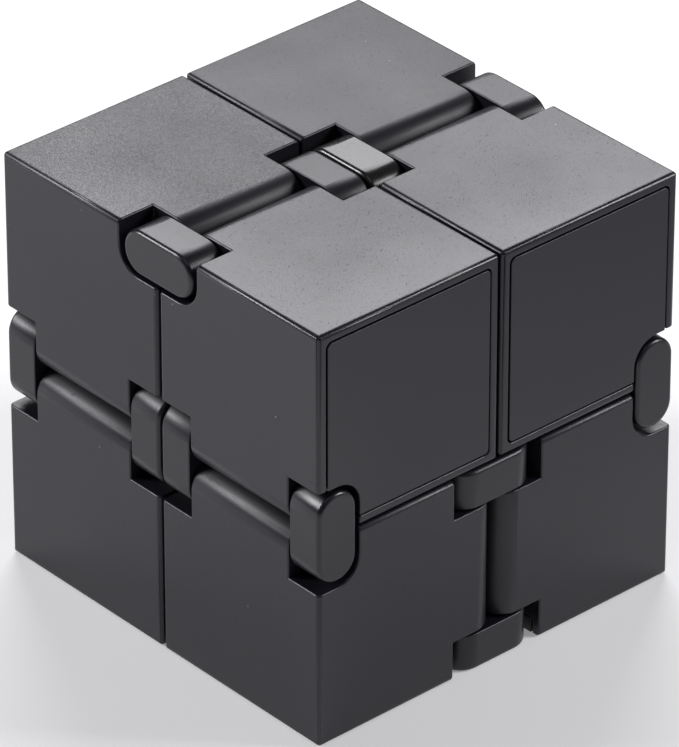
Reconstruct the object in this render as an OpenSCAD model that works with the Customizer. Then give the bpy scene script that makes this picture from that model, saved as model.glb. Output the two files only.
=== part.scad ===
// Eight-cell folding pocket cube: a closed ring of eight hollow cells joined edge to edge
// by eight double-pivot hinges. Closed, the ring packs into one larger cube.
// Millimetres. +Z up. Origin on the floor under the middle of the closed cube.
// The front face looks along -Y and the right face looks along +X.

/* [Whole cube] */
// outside width of the closed cube
cube_size = 40; // [30:1:60]
// free gap between neighbouring cells
cell_gap = 0.25; // [0.1:0.05:0.5]

/* [Cells] */
// thickness of the cell walls
wall = 1.6; // [1:0.1:3]
// rounding of the plain outer edges
edge_radius = 0.45; // [0.2:0.05:1]

/* [Caps] */
// width of the shell rim left around a cap
rim_width = 0.9; // [0.6:0.1:2]
// thickness of the cap plate
cap_thickness = 1.5; // [1:0.1:2.5]
// corner radius of the cap
cap_corner_radius = 0.6; // [0.4:0.1:2]
// seam between the cap and the rim
cap_seam = 0.15; // [0.05:0.01:0.3]
// depth of the locating skirt behind the cap plate
skirt_depth = 2; // [1:0.5:4]
// thickness of the locating skirt
skirt_thickness = 1; // [0.6:0.1:2]
// clearance between the skirt and the cell wall
skirt_clearance = 0.05; // [0:0.01:0.2]

/* [Hinges] */
// distance from each pivot to the faces of its cell, also the rounding of the rolling edge
pivot_inset = 2.1; // [1.8:0.1:3]
// thickness of a link along the pivot
link_thickness = 3.6; // [2.5:0.1:5]
// rounding of the link's rims
link_edge_radius = 0.4; // [0.1:0.05:0.8]
// clearance between a link and the floor of its pocket
link_clearance = 0.35; // [0.1:0.05:0.5]
// clearance between the end of a link and the end wall of its pocket
link_end_clearance = 0.6; // [0.1:0.05:1]
// clearance beside the link along the pivot
link_side_clearance = 0.2; // [0.1:0.05:0.5]
// wall between a pocket and the inside of the cell
pocket_wall = 1.2; // [0.8:0.1:2]

/* [Axles] */
// diameter of the steel axles, pressed into the links
axle_diameter = 1.6; // [1.2:0.1:2]
// radial running clearance of an axle in its cell
axle_clearance = 0.05; // [0.02:0.01:0.15]
// closed end left at the outside of each link
link_end_wall = 1; // [0.6:0.1:1.5]
// free space behind each end of an axle
axle_end_gap = 0.1; // [0:0.05:0.3]

/* [Hidden] */
$fn = 64;
over = 1;
eps = 0.01;
half = cube_size / 2;
gap = cell_gap / 2;
pivot_x = gap + pivot_inset;
pivot_z = half - pivot_inset;
pocket_length = link_thickness + link_side_clearance;
pocket_depth = 2 * pivot_inset + link_clearance;
pocket_reach = 2 * pivot_inset + link_end_clearance;
pocket_radius = pivot_inset + link_clearance;
cap_seat = half - cap_thickness;
shell_color = [0.11, 0.11, 0.12];
cap_color = [0.13, 0.13, 0.14];
link_color = [0.16, 0.16, 0.17];
axle_color = [0.72, 0.73, 0.75];

// ---- placing: everything is drawn once, in the octant x > 0, y > 0, z > 0 about the
// ---- middle of the closed cube, then turned about the octant's diagonal and mirrored

module flip(axis, side) {
  if (side < 0) mirror(axis) children();
  else children();
}

module place(side_x, side_y, side_z, turn) {
  translate([0, 0, half])
    flip([1, 0, 0], side_x) flip([0, 1, 0], side_y) flip([0, 0, 1], side_z)
      rotate(a = -120 * turn, v = [1, 1, 1]) children();
}

module top_cell(side_x, side_y) { place(side_x, side_y, 1, 0) children(); }
module bottom_cell(side_x, side_y) { place(side_x, side_y, -1, 1) children(); }

module top_hinge(side_y) { place(1, side_y, 1, 0) children(); }
module face_hinge(side_x, side_y) { place(side_x, side_y, 1, 1) children(); }
module side_hinge(side_x) { place(side_x, 1, -1, 2) children(); }

// ---- flat outlines

// one rounded outside corner of a square outline, to be cut away
module corner_waste(r) {
  difference() {
    translate([-over, -over]) square(r + over);
    translate([r, r]) circle(r);
  }
}

// square outline of a cell; the corner at high u, low v takes its own radius
module cell_outline(hinge_radius) {
  width = half - gap;
  translate([gap, gap]) difference() {
    square(width);
    corner_waste(edge_radius);
    translate([width, 0]) rotate(90) corner_waste(hinge_radius);
    translate([0, width]) rotate(-90) corner_waste(edge_radius);
    translate([width, width]) rotate(180) corner_waste(edge_radius);
  }
}

// outline of a link's pocket, u along the link and v down from the outer face, with the far
// corner rounded; grow adds a wall's thickness all round
module pocket_outline(grow = 0) {
  reach = pocket_reach + grow;
  depth = pocket_depth + grow;
  r = pocket_radius + grow;
  translate([-over, -over]) square([reach + over, depth - r + over]);
  translate([-over, -over]) square([reach - r + over, depth + over]);
  translate([reach - r, depth - r]) circle(r);
}

module round_square(low, high, r) {
  width = high - low;
  translate([low, low]) {
    translate([r, 0]) square([width - 2 * r, width]);
    translate([0, r]) square([width, width - 2 * r]);
    for (x = [r, width - r], y = [r, width - r]) translate([x, y]) circle(r);
  }
}

// ---- directions inside the octant

// outline given in Y and Z, drawn out along X
module along_x(from, to) {
  translate([from, 0, 0]) rotate([90, 0, 90]) linear_extrude(height = to - from) children();
}

// outline given in Z and X, drawn out along Y
module along_y(from, to) {
  rotate(a = 120, v = [1, 1, 1]) along_x(from, to) children();
}

// puts an outline drawn from a hinged edge at the corner where u is outermost and v innermost
module hinge_corner() {
  translate([half, gap]) rotate(90) children();
}

// ---- cells: the first hinge runs along Y at the top of the inner side,
// ---- the second runs along X at the bottom of the outer side, the cap faces +X

module cell_block() {
  intersection() {
    along_x(gap, half) cell_outline(pivot_inset);
    along_y(gap, half) cell_outline(pivot_inset);
    translate([0, 0, gap]) linear_extrude(height = half - gap) cell_outline(edge_radius);
  }
}

module hinge_pockets() {
  along_y(gap - over, gap + pocket_length) hinge_corner() pocket_outline();
  along_y(half - pocket_length, half + over) hinge_corner() pocket_outline();
  along_x(gap - over, gap + pocket_length) hinge_corner() pocket_outline();
  along_x(half - pocket_length, half + over) hinge_corner() pocket_outline();
}

module axle_bores() {
  bore = axle_diameter / 2 + axle_clearance;
  along_y(gap, half) translate([pivot_z, pivot_x]) circle(bore);
  along_x(gap, half) translate([pivot_z, pivot_x]) circle(bore);
}

module cavity() {
  low = gap + wall;
  high = half - wall;
  difference() {
    translate([low, low, low]) cube([cap_seat + over - low, high - low, high - low]);
    along_y(0, half) hinge_corner() pocket_outline(pocket_wall);
    along_x(0, cap_seat) hinge_corner() pocket_outline(pocket_wall);
  }
}

module cap_opening() {
  along_x(cap_seat, half + over)
    round_square(gap + rim_width, half - rim_width, cap_corner_radius);
}

module cell_shell() {
  difference() {
    cell_block();
    cavity();
    cap_opening();
    hinge_pockets();
    axle_bores();
  }
}

module cell_cap() {
  low = gap + wall + skirt_clearance;
  high = half - wall - skirt_clearance;
  difference() {
    union() {
      along_x(cap_seat, half)
        round_square(gap + rim_width + cap_seam, half - rim_width - cap_seam, cap_corner_radius - cap_seam);
      along_x(cap_seat - skirt_depth, cap_seat + eps) difference() {
        translate([low, low]) square(high - low);
        translate([low + skirt_thickness, low + skirt_thickness])
          square(high - low - 2 * skirt_thickness);
      }
    }
    along_x(half - pocket_length, half + over) hinge_corner() pocket_outline();
    along_x(0, cap_seat) hinge_corner() pocket_outline(pocket_wall + skirt_clearance);
  }
}

// ---- hinges: the pivots run along Y at the top, one on each side of x = 0

// outline of a link rim: flat ends joined by rounded edges, u outwards from the pivot
module link_rim(width) {
  square([width, link_thickness - link_edge_radius]);
  square([width - link_edge_radius, link_thickness]);
  translate([width - link_edge_radius, link_thickness - link_edge_radius]) circle(link_edge_radius);
}

// a link with its open side at z = 0 and its closed, rounded side at z = link_thickness
module link() {
  difference() {
    union() {
      for (side = [-1, 1]) translate([side * pivot_x, 0, 0])
        rotate_extrude() link_rim(pivot_inset);
      translate([-pivot_x, 0, 0]) rotate([90, 0, 90])
        linear_extrude(height = 2 * pivot_x) {
          link_rim(pivot_inset);
          mirror([1, 0]) link_rim(pivot_inset);
        }
    }
    for (side = [-1, 1]) translate([side * pivot_x, 0, -over])
      cylinder(d = axle_diameter, h = link_thickness - link_end_wall + over);
  }
}

module outer_link() {
  translate([0, half - link_thickness, pivot_z]) rotate([-90, 0, 0]) link();
}

module inner_link() {
  translate([0, gap + link_thickness, pivot_z]) rotate([90, 0, 0]) link();
}

module axle(side) {
  from = gap + link_end_wall + axle_end_gap;
  to = half - link_end_wall - axle_end_gap;
  translate([side * pivot_x, from, pivot_z]) rotate([-90, 0, 0])
    cylinder(d = axle_diameter, h = to - from);
}

// ---- the eight cells

module top_front_left_shell() { color(shell_color) top_cell(-1, -1) cell_shell(); }
module top_front_left_cap() { color(cap_color) top_cell(-1, -1) cell_cap(); }
module top_front_right_shell() { color(shell_color) top_cell(1, -1) cell_shell(); }
module top_front_right_cap() { color(cap_color) top_cell(1, -1) cell_cap(); }
module top_back_right_shell() { color(shell_color) top_cell(1, 1) cell_shell(); }
module top_back_right_cap() { color(cap_color) top_cell(1, 1) cell_cap(); }
module top_back_left_shell() { color(shell_color) top_cell(-1, 1) cell_shell(); }
module top_back_left_cap() { color(cap_color) top_cell(-1, 1) cell_cap(); }
module bottom_front_left_shell() { color(shell_color) bottom_cell(-1, -1) cell_shell(); }
module bottom_front_left_cap() { color(cap_color) bottom_cell(-1, -1) cell_cap(); }
module bottom_front_right_shell() { color(shell_color) bottom_cell(1, -1) cell_shell(); }
module bottom_front_right_cap() { color(cap_color) bottom_cell(1, -1) cell_cap(); }
module bottom_back_right_shell() { color(shell_color) bottom_cell(1, 1) cell_shell(); }
module bottom_back_right_cap() { color(cap_color) bottom_cell(1, 1) cell_cap(); }
module bottom_back_left_shell() { color(shell_color) bottom_cell(-1, 1) cell_shell(); }
module bottom_back_left_cap() { color(cap_color) bottom_cell(-1, 1) cell_cap(); }

// ---- the eight hinges

module top_front_hinge_outer_link() { color(link_color) top_hinge(-1) outer_link(); }
module top_front_hinge_inner_link() { color(link_color) top_hinge(-1) inner_link(); }
module top_front_hinge_left_axle() { color(axle_color) top_hinge(-1) axle(-1); }
module top_front_hinge_right_axle() { color(axle_color) top_hinge(-1) axle(1); }
module top_back_hinge_outer_link() { color(link_color) top_hinge(1) outer_link(); }
module top_back_hinge_inner_link() { color(link_color) top_hinge(1) inner_link(); }
module top_back_hinge_left_axle() { color(axle_color) top_hinge(1) axle(-1); }
module top_back_hinge_right_axle() { color(axle_color) top_hinge(1) axle(1); }
module front_left_hinge_outer_link() { color(link_color) face_hinge(-1, -1) outer_link(); }
module front_left_hinge_inner_link() { color(link_color) face_hinge(-1, -1) inner_link(); }
module front_left_hinge_lower_axle() { color(axle_color) face_hinge(-1, -1) axle(-1); }
module front_left_hinge_upper_axle() { color(axle_color) face_hinge(-1, -1) axle(1); }
module front_right_hinge_outer_link() { color(link_color) face_hinge(1, -1) outer_link(); }
module front_right_hinge_inner_link() { color(link_color) face_hinge(1, -1) inner_link(); }
module front_right_hinge_lower_axle() { color(axle_color) face_hinge(1, -1) axle(-1); }
module front_right_hinge_upper_axle() { color(axle_color) face_hinge(1, -1) axle(1); }
module back_right_hinge_outer_link() { color(link_color) face_hinge(1, 1) outer_link(); }
module back_right_hinge_inner_link() { color(link_color) face_hinge(1, 1) inner_link(); }
module back_right_hinge_lower_axle() { color(axle_color) face_hinge(1, 1) axle(-1); }
module back_right_hinge_upper_axle() { color(axle_color) face_hinge(1, 1) axle(1); }
module back_left_hinge_outer_link() { color(link_color) face_hinge(-1, 1) outer_link(); }
module back_left_hinge_inner_link() { color(link_color) face_hinge(-1, 1) inner_link(); }
module back_left_hinge_lower_axle() { color(axle_color) face_hinge(-1, 1) axle(-1); }
module back_left_hinge_upper_axle() { color(axle_color) face_hinge(-1, 1) axle(1); }
module right_hinge_outer_link() { color(link_color) side_hinge(1) outer_link(); }
module right_hinge_inner_link() { color(link_color) side_hinge(1) inner_link(); }
module right_hinge_front_axle() { color(axle_color) side_hinge(1) axle(-1); }
module right_hinge_back_axle() { color(axle_color) side_hinge(1) axle(1); }
module left_hinge_outer_link() { color(link_color) side_hinge(-1) outer_link(); }
module left_hinge_inner_link() { color(link_color) side_hinge(-1) inner_link(); }
module left_hinge_front_axle() { color(axle_color) side_hinge(-1) axle(-1); }
module left_hinge_back_axle() { color(axle_color) side_hinge(-1) axle(1); }

// ---- drawing

top_front_left_shell();
top_front_left_cap();
top_front_right_shell();
top_front_right_cap();
top_back_right_shell();
top_back_right_cap();
top_back_left_shell();
top_back_left_cap();
bottom_front_left_shell();
bottom_front_left_cap();
bottom_front_right_shell();
bottom_front_right_cap();
bottom_back_right_shell();
bottom_back_right_cap();
bottom_back_left_shell();
bottom_back_left_cap();
top_front_hinge_outer_link();
top_front_hinge_inner_link();
top_front_hinge_left_axle();
top_front_hinge_right_axle();
top_back_hinge_outer_link();
top_back_hinge_inner_link();
top_back_hinge_left_axle();
top_back_hinge_right_axle();
front_left_hinge_outer_link();
front_left_hinge_inner_link();
front_left_hinge_lower_axle();
front_left_hinge_upper_axle();
front_right_hinge_outer_link();
front_right_hinge_inner_link();
front_right_hinge_lower_axle();
front_right_hinge_upper_axle();
back_right_hinge_outer_link();
back_right_hinge_inner_link();
back_right_hinge_lower_axle();
back_right_hinge_upper_axle();
back_left_hinge_outer_link();
back_left_hinge_inner_link();
back_left_hinge_lower_axle();
back_left_hinge_upper_axle();
right_hinge_outer_link();
right_hinge_inner_link();
right_hinge_front_axle();
right_hinge_back_axle();
left_hinge_outer_link();
left_hinge_inner_link();
left_hinge_front_axle();
left_hinge_back_axle();
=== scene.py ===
"""Looks of the folding fidget cube: moulded black ABS cells, caps and links, steel axles,
a pale floor, soft studio light and the camera. Every length is in metres."""

import math

import bpy
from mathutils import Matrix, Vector


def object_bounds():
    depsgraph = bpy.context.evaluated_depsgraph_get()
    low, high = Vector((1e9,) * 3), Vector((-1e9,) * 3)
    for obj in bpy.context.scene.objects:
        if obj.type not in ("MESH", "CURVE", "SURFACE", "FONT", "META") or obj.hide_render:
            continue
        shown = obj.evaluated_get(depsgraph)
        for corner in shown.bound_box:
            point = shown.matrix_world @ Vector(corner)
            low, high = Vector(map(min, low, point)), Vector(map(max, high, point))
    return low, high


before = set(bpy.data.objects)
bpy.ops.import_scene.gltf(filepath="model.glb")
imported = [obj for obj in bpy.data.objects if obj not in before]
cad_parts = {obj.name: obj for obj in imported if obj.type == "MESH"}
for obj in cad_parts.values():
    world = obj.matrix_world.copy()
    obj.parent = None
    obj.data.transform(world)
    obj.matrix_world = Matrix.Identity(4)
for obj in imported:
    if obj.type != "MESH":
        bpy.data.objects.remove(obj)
CAD_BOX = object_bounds()

MM = 0.001
HALF = round(CAD_BOX[1][0], 5)
CUBE_MIDDLE = Vector((0.0, 0.0, HALF))

EDGE_ROUNDING = {"shell": 0.17 * MM, "cap": 0.07 * MM, "link": 0.12 * MM}

BLACK = (0.0078, 0.0071, 0.0128)
LINK_BLACK = (0.0082, 0.0076, 0.0128)
# partly rubbed wear, partly painted highlight: a lighter tone than LINK_BLACK that brightens the
# rubbed centre link
RUBBED_BLACK_PAINTED_SHEEN = (0.012, 0.0112, 0.0108)
# painted shade: how dark the plastic is painted in pockets and between the cells, as a share of its
# tone
SUNKEN_PAINTED_SHADE = 0.3
DUST_COLOUR = (0.30, 0.30, 0.31, 1.0)

GRAIN_SIZE = 0.13 * MM
SPECK_SPACING = 1.9 * MM
SPECK_SIZE = 0.10 * MM
UNEVEN_SIZE = 7 * MM

# how much each of these adds to or takes from the plastic's roughness
UNEVEN_ROUGH = 0.02
RUBBED_ROUGH = 0.07
SCUFF_ROUGH = 0.2
SUNKEN_ROUGH = 0.25
PIT_ROUGH = 0.08

RIGHTWARD = (0.75, 0.66, 0.0)
# painted light and shade on the floor: its colour and glow fade darker to the right over this span
FLOOR_PAINTED_FADE = (2 * HALF, 5.5 * HALF)
FLOOR_SIZE = 3.0
LIGHT_COLOUR = (0.97, 0.965, 1.0)

CAMERA_AZIMUTH = 48.44
CAMERA_ELEVATION = 31.9
CAMERA_DISTANCE = 0.634
CAMERA_AIM = CUBE_MIDDLE + MM * Vector((0.30, -0.25, -0.62))


# ---- small helpers for node trees


def new_material(name):
    """A material with one Principled shader, its node tree and the shader."""
    material = bpy.data.materials.new(name)
    material.use_nodes = True
    tree = material.node_tree
    tree.nodes.clear()
    shader = tree.nodes.new("ShaderNodeBsdfPrincipled")
    out = tree.nodes.new("ShaderNodeOutputMaterial")
    tree.links.new(shader.outputs["BSDF"], out.inputs["Surface"])
    return material, tree, shader


def add(tree, kind, inputs=None, **settings):
    """Adds a node, sets its properties, then fills or links its inputs."""
    node = tree.nodes.new(kind)
    for key, value in settings.items():
        setattr(node, key, value)
    for key, value in (inputs or {}).items():
        if isinstance(value, bpy.types.NodeSocket):
            tree.links.new(value, node.inputs[key])
        else:
            node.inputs[key].default_value = value
    return node


def noise(tree, place, size, detail=2.0, roughness=0.5):
    """Noise whose features are about `size` metres across."""
    node = add(
        tree,
        "ShaderNodeTexNoise",
        {"Vector": place, "Scale": 1.0 / size, "Detail": detail, "Roughness": roughness},
    )
    return node.outputs["Fac"]


def remap(tree, value, low, high, to_low, to_high):
    """Takes low..high to to_low..to_high and holds it there outside."""
    node = add(
        tree,
        "ShaderNodeMapRange",
        {"Value": value, "From Min": low, "From Max": high, "To Min": to_low, "To Max": to_high},
    )
    return node.outputs["Result"]


def ramp(tree, value, stops):
    """Colour ramp; stops are (position, red, green, blue)."""
    node = add(tree, "ShaderNodeValToRGB", {"Fac": value})
    elements = node.color_ramp.elements
    while len(elements) < len(stops):
        elements.new(0.5)
    for element, (place, *colour) in zip(elements, stops):
        element.position = place
        element.color = (*colour, 1.0)
    return node.outputs["Color"]


def math_node(tree, operation, first, second=0.0):
    """One arithmetic step on numbers or sockets."""
    node = tree.nodes.new("ShaderNodeMath")
    node.operation = operation
    for socket, value in zip(node.inputs, (first, second)):
        if isinstance(value, bpy.types.NodeSocket):
            tree.links.new(value, socket)
        else:
            socket.default_value = value
    return node.outputs["Value"]


def along(tree, place, direction):
    """How far a place lies along a direction."""
    node = add(tree, "ShaderNodeVectorMath", {0: place, 1: direction}, operation="DOT_PRODUCT")
    return node.outputs["Value"]


def closed_place(tree, place):
    """Distances from the closed cube's middle along the three axes, as three positive numbers."""
    parts = add(tree, "ShaderNodeSeparateXYZ", {"Vector": place}).outputs
    level = math_node(tree, "SUBTRACT", parts["Z"], CUBE_MIDDLE.z)
    return [math_node(tree, "ABSOLUTE", value) for value in (parts["X"], parts["Y"], level)]


def handled_edges(tree, place):
    """Strongest near the closed cube's outside edges and 0 away from them.

    It reaches 1 on the side that fingers rub and -0.4 on the side that they don't.
    """
    x, y, z = closed_place(tree, place)
    low = math_node(tree, "MINIMUM", x, y)
    high = math_node(tree, "MAXIMUM", x, y)
    second = math_node(tree, "MAXIMUM", low, math_node(tree, "MINIMUM", high, z))
    edge = remap(tree, second, 0.6 * HALF, HALF, 0.0, 1.0)
    towards = along(tree, place, (0.75, -0.66, 0.0))
    return math_node(tree, "MULTIPLY", edge, remap(tree, towards, -16 * MM, 6 * MM, -0.4, 1.0))


def sunken_shade_mask(tree, place):
    """0 on the closed cube's outside faces, 1 a little way into pockets and between the cells; it
    sets painted shade there and extra roughness.
    """
    x, y, z = closed_place(tree, place)
    outermost = math_node(tree, "MAXIMUM", math_node(tree, "MAXIMUM", x, y), z)
    return remap(tree, outermost, HALF - 0.3 * MM, HALF - 1.8 * MM, 0.0, 1.0)


def specks(tree, place, spacing, size):
    """1 in sparse round specks, 0 elsewhere."""
    cells = add(tree, "ShaderNodeTexVoronoi", {"Vector": place, "Scale": 1.0 / spacing})
    reach = remap(tree, cells.outputs["Distance"], size / spacing, 0.4 * size / spacing, 0.0, 1.0)
    chosen = add(tree, "ShaderNodeSeparateColor", {"Color": cells.outputs["Color"]})
    kept = math_node(tree, "GREATER_THAN", chosen.outputs["Red"], 0.72)
    return math_node(tree, "MULTIPLY", reach, kept)


def scratches(tree, place, turn, length, width):
    """1 on short, thin, nearly parallel scuffs, 0 elsewhere."""
    spun = add(tree, "ShaderNodeMapping", {"Vector": place, "Rotation": turn})
    drawn = add(
        tree,
        "ShaderNodeMapping",
        {"Vector": spun.outputs["Vector"], "Scale": (1 / length, 1 / width, 1 / width)},
    )
    marks = add(
        tree, "ShaderNodeTexNoise", {"Vector": drawn.outputs["Vector"], "Scale": 1.0, "Detail": 1.0}
    )
    return remap(tree, marks.outputs["Fac"], 0.68, 0.76, 0.0, 1.0)


# ---- materials


def moulded_abs(name, tone, rough, grain_height, scuffs, dust, coarse=0.0):
    """Black ABS with fine grain, rubbed outside edges, a few scuffs, specks of dust, and painted
    shade that darkens it in pockets and between the cells.

    scuffs and dust are strengths from 0 up; coarse adds pits to faces that lie level.
    """
    material, tree, shader = new_material(name)
    shader.inputs["IOR"].default_value = 1.5
    tex = add(tree, "ShaderNodeTexCoord")
    place = tex.outputs["Object"]
    shade_depth = sunken_shade_mask(tree, place)
    grain = noise(tree, place, GRAIN_SIZE, 1.0, 0.5)

    # painted shade: the colour darkens towards this a little way into pockets and between the cells
    painted_shade_colour = [SUNKEN_PAINTED_SHADE * tone[0]] * 3
    plastic = ramp(tree, shade_depth, [(0.0, *tone), (1.0, *painted_shade_colour)])
    speck = specks(tree, place, SPECK_SPACING, SPECK_SIZE)
    colour = add(
        tree,
        "ShaderNodeMix",
        {6: plastic, 7: DUST_COLOUR, 0: math_node(tree, "MULTIPLY", speck, dust)},
        data_type="RGBA",
    )
    tree.links.new(colour.outputs[2], shader.inputs["Base Color"])

    uneven = noise(tree, place, UNEVEN_SIZE, 3.0, 0.5)
    matt = remap(tree, uneven, 0.3, 0.7, rough - UNEVEN_ROUGH, rough + UNEVEN_ROUGH)
    rubbed = math_node(tree, "MULTIPLY", handled_edges(tree, place), RUBBED_ROUGH)
    matt = math_node(tree, "SUBTRACT", matt, rubbed)
    scuff_a = scratches(tree, place, (0.3, 0.2, 0.9), 1.1 * MM, 0.13 * MM)
    scuff_b = scratches(tree, place, (0.1, 0.5, -0.6), 0.8 * MM, 0.11 * MM)
    marks = math_node(tree, "MAXIMUM", scuff_a, scuff_b)
    scuff = math_node(tree, "MULTIPLY", marks, SCUFF_ROUGH * scuffs)
    matt = math_node(tree, "ADD", matt, scuff)
    matt = math_node(tree, "ADD", matt, math_node(tree, "MULTIPLY", shade_depth, SUNKEN_ROUGH))
    if coarse:
        level = along(tree, tex.outputs["Normal"], (0.0, 0.0, 1.0))
        lying = remap(tree, math_node(tree, "ABSOLUTE", level), 0.7, 0.95, 0.0, coarse)
        pits = remap(tree, grain, 0.35, 0.65, -PIT_ROUGH, PIT_ROUGH)
        matt = math_node(tree, "ADD", matt, math_node(tree, "MULTIPLY", pits, lying))
        grain = math_node(tree, "MULTIPLY", grain, math_node(tree, "ADD", lying, 0.15))
    tree.links.new(matt, shader.inputs["Roughness"])

    height = math_node(tree, "ADD", grain, math_node(tree, "MULTIPLY", speck, 0.5 * dust))
    bump = add(
        tree,
        "ShaderNodeBump",
        {"Height": height, "Strength": 1.0, "Distance": grain_height},
    )
    tree.links.new(bump.outputs["Normal"], shader.inputs["Normal"])
    return material


def drawn_steel(name):
    """Plain drawn wire for the axles."""
    material, tree, shader = new_material(name)
    place = add(tree, "ShaderNodeTexCoord").outputs["Object"]
    shader.inputs["Metallic"].default_value = 1.0
    tone = noise(tree, place, 0.6 * MM, 3.0)
    colour = ramp(tree, tone, [(0.3, 0.50, 0.50, 0.51), (0.7, 0.62, 0.62, 0.63)])
    tree.links.new(colour, shader.inputs["Base Color"])
    tree.links.new(remap(tree, tone, 0.3, 0.7, 0.26, 0.38), shader.inputs["Roughness"])
    return material


# ---- the CAD nodes' finish


def soften(node, width, segments=3):
    """Rounds a CAD node's sharp edges, once its vertices are joined and its flat faces merged."""
    weld = node.modifiers.new("join_vertices", "WELD")
    weld.merge_threshold = 0.0005 * MM
    merge = node.modifiers.new("merge_flats", "DECIMATE")
    merge.decimate_type = "DISSOLVE"
    merge.angle_limit = math.radians(0.5)
    bevel = node.modifiers.new("edge_rounding", "BEVEL")
    bevel.width = width
    bevel.segments = segments
    bevel.limit_method = "ANGLE"
    bevel.angle_limit = math.radians(40)
    bevel.use_clamp_overlap = False
    bevel.harden_normals = True


def finish_nodes():
    """Gives every CAD node its material by its kind, and rounds the plastic pieces' edges."""
    shell = moulded_abs("shell_abs", BLACK, 0.39, 0.008 * MM, scuffs=1.0, dust=0.8)
    sleek = moulded_abs("shell_abs_sleek", BLACK, 0.35, 0.008 * MM, scuffs=1.0, dust=1.0)
    grained = moulded_abs(
        "shell_abs_grained", BLACK, 0.40, 0.009 * MM, scuffs=0.0, dust=0.4, coarse=0.9
    )
    cap = moulded_abs("cap_abs", BLACK, 0.38, 0.006 * MM, scuffs=0.2, dust=0.8)
    link = moulded_abs("link_abs", LINK_BLACK, 0.36, 0.004 * MM, scuffs=0.8, dust=0.5)
    # the rubbed centre link: lower roughness, and a lighter tone that is partly painted highlight
    polished_painted_sheen = moulded_abs(
        "link_abs_rubbed_painted_sheen", RUBBED_BLACK_PAINTED_SHEEN, 0.22, 0.003 * MM, scuffs=0.5, dust=0.5
    )
    steel = drawn_steel("axle_steel")
    looks = {"shell": shell, "cap": cap, "link": link, "axle": steel}
    special = {
        "top_front_left_shell": grained,
        "top_front_right_shell": sleek,
        "top_back_right_shell": sleek,
        "top_back_hinge_inner_link": polished_painted_sheen,
    }
    for name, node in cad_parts.items():
        kind = name.rsplit("_", 1)[1]
        look = special.get(name, looks[kind])
        for slot in node.material_slots:
            slot.material = look
        if kind != "axle":
            soften(node, EDGE_ROUNDING[kind])


# ---- studio


def studio_floor():
    """Pale paper just under the cube that glows as painted light, with painted shade that makes it
    darker to the right.
    """
    mesh = bpy.data.meshes.new("studio_floor")
    signs = [(-1, -1), (1, -1), (1, 1), (-1, 1)]
    corners = [(x * FLOOR_SIZE, y * FLOOR_SIZE, 0) for x, y in signs]
    mesh.from_pydata(corners, [], [(0, 1, 2, 3)])
    floor = bpy.data.objects.new("studio_floor", mesh)
    floor.location.z = -0.02 * MM
    bpy.context.scene.collection.objects.link(floor)
    material, tree, shader = new_material("floor_paper_painted_light")
    shader.inputs["Roughness"].default_value = 0.9
    place = add(tree, "ShaderNodeTexCoord").outputs["Object"]
    rightward = along(tree, place, RIGHTWARD)
    # painted shade: the paper's colour darkens to the right
    paper = remap(tree, rightward, *FLOOR_PAINTED_FADE, 0.9, 0.4)
    tree.links.new(paper, shader.inputs["Base Color"])
    # painted light: the floor glows, less so to the right
    shader.inputs["Emission Color"].default_value = (1, 1, 1, 1)
    painted_glow = remap(tree, rightward, *FLOOR_PAINTED_FADE, 0.22, 0.02)
    tree.links.new(painted_glow, shader.inputs["Emission Strength"])
    mesh.materials.append(material)


def heading(azimuth, elevation):
    """Unit vector at an azimuth from -Y towards +X and an elevation, both in degrees."""
    turn, lift = math.radians(azimuth), math.radians(elevation)
    return Vector(
        (math.sin(turn) * math.cos(lift), -math.cos(turn) * math.cos(lift), math.sin(lift))
    )


def softbox(name, azimuth, elevation, distance, size, radiance):
    """Square area light that faces the cube; radiance is how bright its own face looks."""
    data = bpy.data.lights.new(name, "AREA")
    data.shape = "SQUARE"
    data.size = size
    data.energy = math.pi * size * size * radiance
    data.color = LIGHT_COLOUR
    lamp = bpy.data.objects.new(name, data)
    away = heading(azimuth, elevation)
    lamp.location = CUBE_MIDDLE + distance * away
    lamp.rotation_euler = (-away).to_track_quat("-Z", "Y").to_euler()
    bpy.context.scene.collection.objects.link(lamp)


def studio_light():
    """Soft boxes behind, left and right of the cube, with a weak one overhead at the front."""
    bpy.context.scene.view_settings.view_transform = "Standard"
    world = bpy.data.worlds.new("studio")
    bpy.context.scene.world = world
    world.use_nodes = True
    background = world.node_tree.nodes["Background"]
    background.inputs["Color"].default_value = (0.93, 0.96, 1.0, 1)
    background.inputs["Strength"].default_value = 0.06
    softbox("back_softbox", 228, 38, 0.8, 0.42, 5.6)
    softbox("left_softbox", 313, 27, 0.8, 0.24, 24.0)
    softbox("right_softbox", 138, 27, 0.45, 0.15, 17.0)
    softbox("front_fill", 48, 68, 0.8, 0.42, 0.8)


# ---- camera


def studio_camera():
    """A long lens, looking at the near upright edge from above."""
    away = heading(CAMERA_AZIMUTH, CAMERA_ELEVATION)
    data = bpy.data.cameras.new("camera")
    data.lens = 360.0
    data.sensor_width = 36.0
    camera = bpy.data.objects.new("camera", data)
    camera.location = CAMERA_AIM + CAMERA_DISTANCE * away
    camera.rotation_euler = (-away).to_track_quat("-Z", "Y").to_euler()
    bpy.context.scene.collection.objects.link(camera)
    bpy.context.scene.camera = camera


studio_camera()
finish_nodes()
studio_floor()
studio_light()
